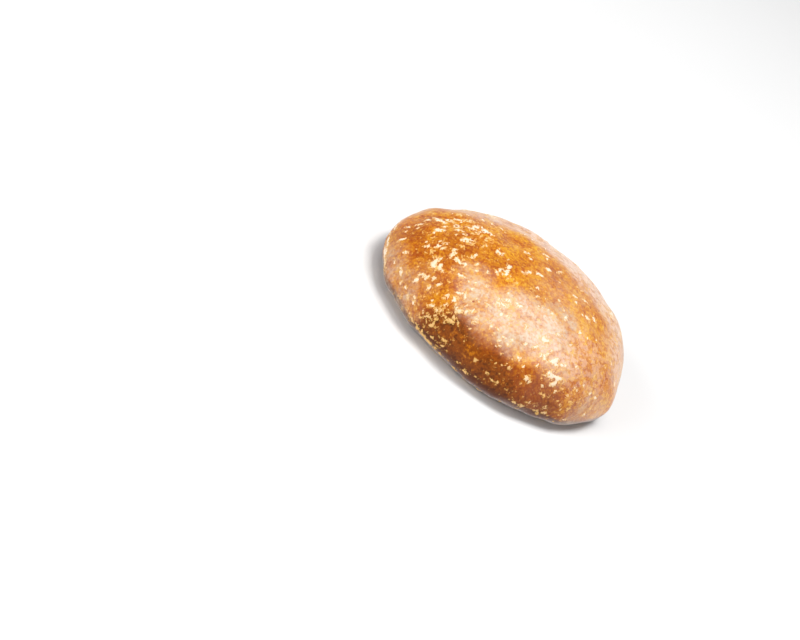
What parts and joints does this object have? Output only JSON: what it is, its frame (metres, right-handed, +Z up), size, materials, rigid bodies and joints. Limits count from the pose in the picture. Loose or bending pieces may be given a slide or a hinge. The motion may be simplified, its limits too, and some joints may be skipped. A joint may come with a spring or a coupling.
{
  "type": "gingerbread cookie",
  "caption": "Glazed gingerbread cookie: one slightly oval baked dome on a flat foot, with flakes of dried sugar glaze.",
  "frame": {"origin": "centre of the cookie's box on the surface it lies on, under the flat foot", "axes": "+Z up through the dome, +X along the longer of the two widths, +Y to the back as pictured"},
  "size_m": [0.0622, 0.0596, 0.0199],
  "materials": {
    "glazed_crust": "satin"
  },
  "bodies": {
    "root": {"cookie": "glazed_crust"}
  },
  "joints": []
}
